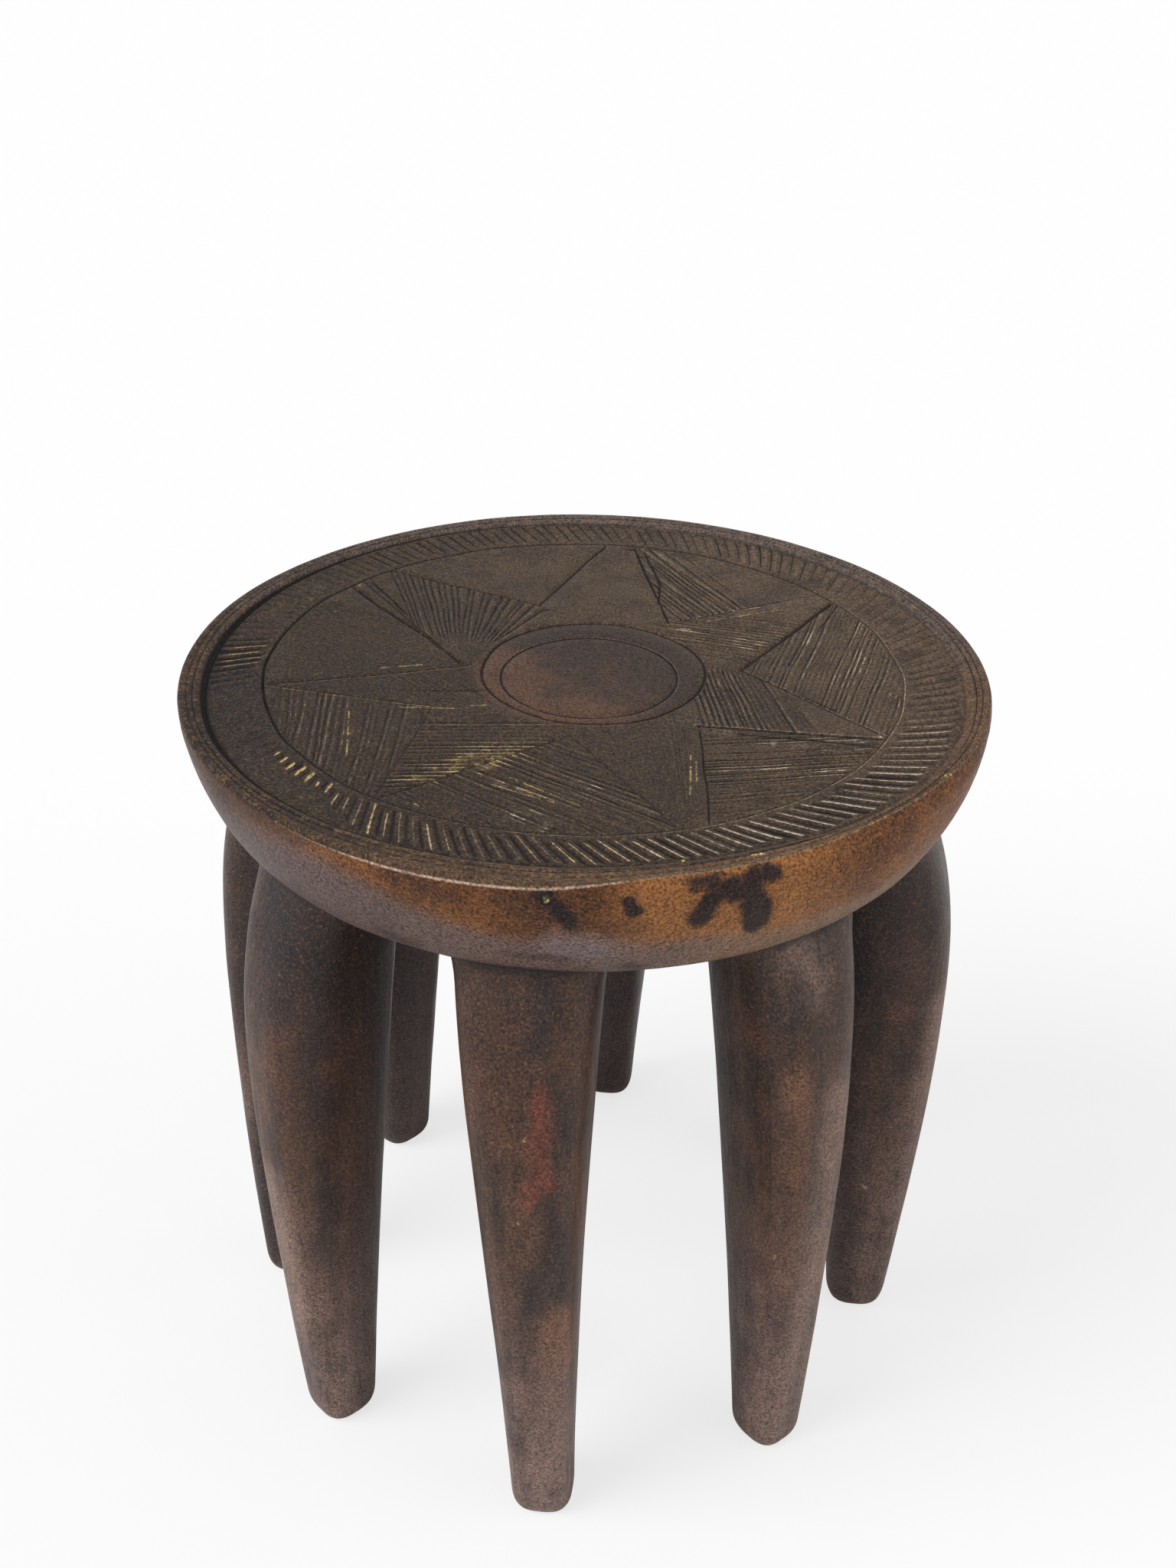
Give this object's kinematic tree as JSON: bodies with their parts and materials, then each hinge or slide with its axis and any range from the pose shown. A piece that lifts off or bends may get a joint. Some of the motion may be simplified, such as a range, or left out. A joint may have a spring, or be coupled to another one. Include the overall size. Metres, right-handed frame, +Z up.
{
  "type": "carved wooden stool",
  "caption": "Round dark carved wooden stool with a shallow raised rim, a hatched star and border on its seat, and bowed tapering legs in a ring.",
  "frame": {"origin": "on the floor, under the middle of the round seat", "axes": "+Z up out of the seat, -Y towards the front leg, +X to the right of a person who faces the front leg"},
  "size_m": [0.36, 0.36, 0.36],
  "materials": {
    "seat_wood": "dark brown hand-rubbed patina, worn orange-brown on the side of the bowl",
    "leg_wood": "dark reddish-brown oiled wood, satin, worn smooth"
  },
  "bodies": {
    "root": {"seat": "seat_wood", "front_leg": "leg_wood", "front_right_leg": "leg_wood", "right_leg": "leg_wood", "back_right_leg": "leg_wood", "back_leg": "leg_wood", "back_left_leg": "leg_wood", "left_leg": "leg_wood", "front_left_leg": "leg_wood"}
  },
  "joints": []
}
